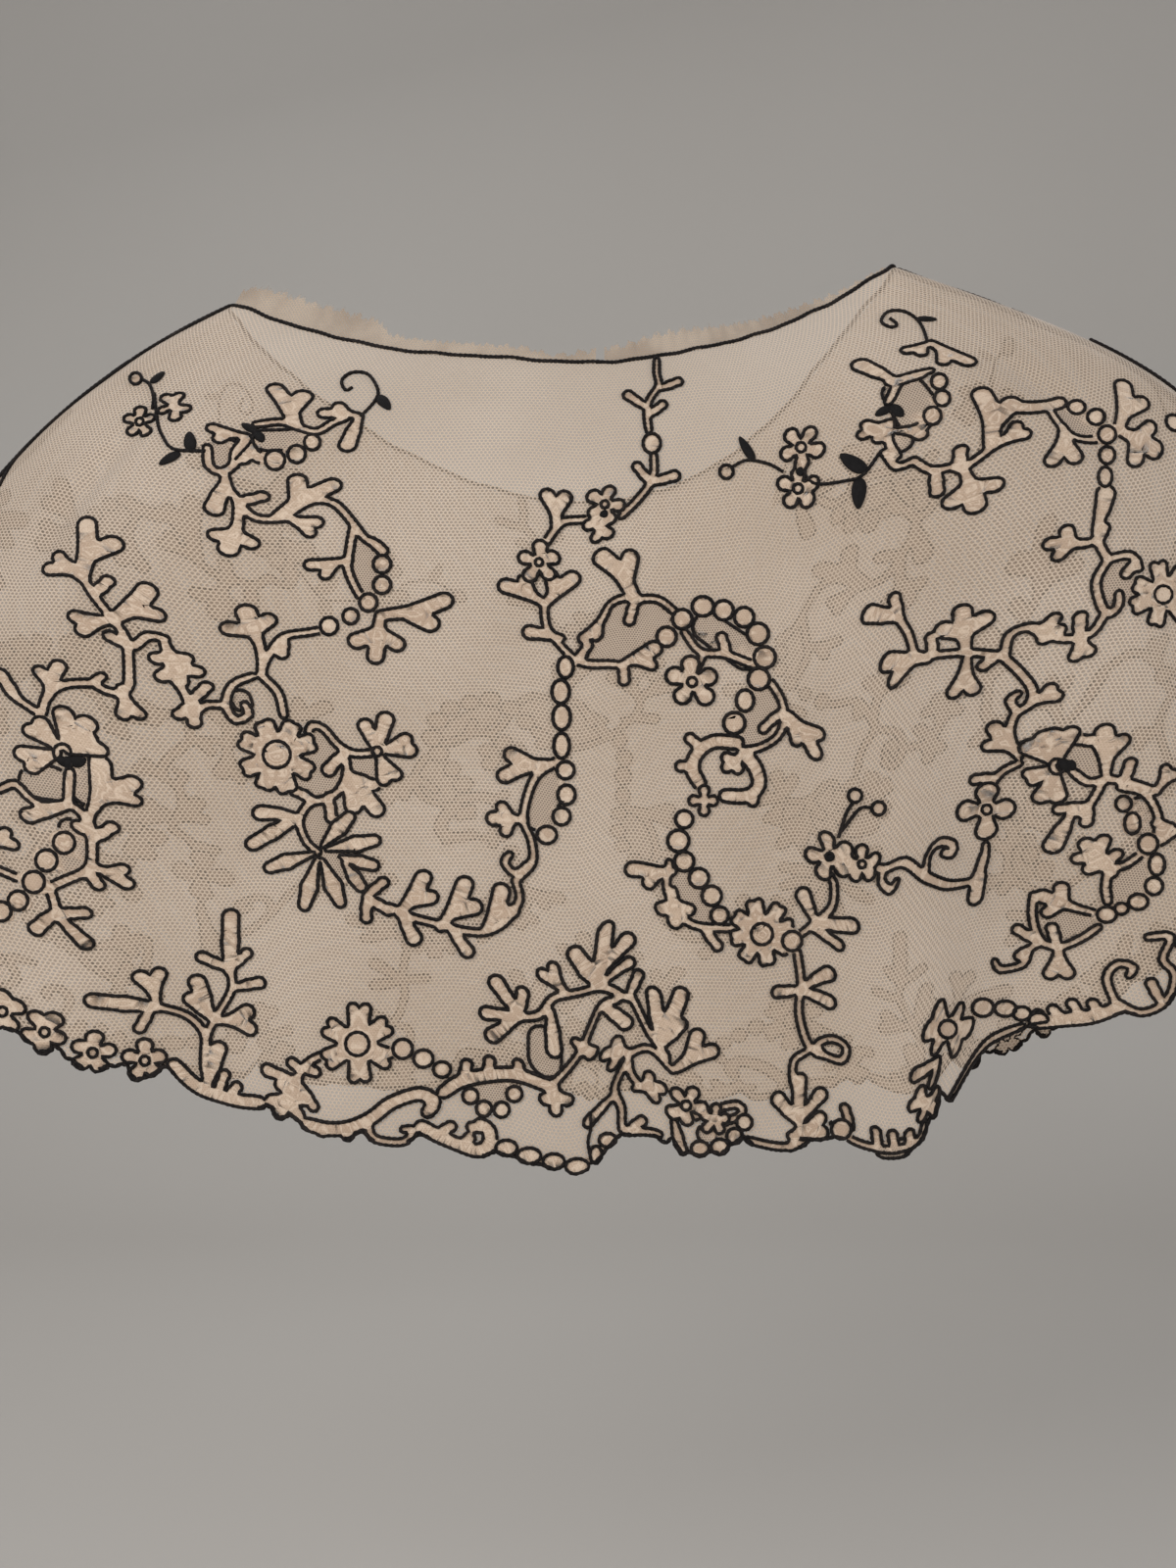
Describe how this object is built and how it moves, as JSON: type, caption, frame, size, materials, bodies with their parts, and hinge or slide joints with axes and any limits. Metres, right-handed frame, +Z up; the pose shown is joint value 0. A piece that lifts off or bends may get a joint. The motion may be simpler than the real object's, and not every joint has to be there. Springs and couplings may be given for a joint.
{
  "type": "embroidered net cape collar",
  "caption": "Cape-length lace collar of ecru net with black-corded neck and hem, hollow as worn over the shoulders.",
  "frame": {"origin": "middle of the neck opening at the height where the collar rests on the shoulders", "axes": "+Z up, -Y to the wearer's front, +X to the wearer's left"},
  "size_m": [0.6908, 0.2574, 0.4182],
  "materials": {
    "ecru_net": "sheer machine net with applied net sprays outlined in black chain stitch",
    "raw_net": "raw-edged net strip, slightly frayed",
    "black_cord": "matt twisted black cord"
  },
  "bodies": {
    "root": {"net_left": "ecru_net", "net_right": "ecru_net", "neck_strip_left": "raw_net", "neck_strip_right": "raw_net", "neck_cord": "black_cord", "hem_cord": "black_cord"}
  },
  "joints": []
}
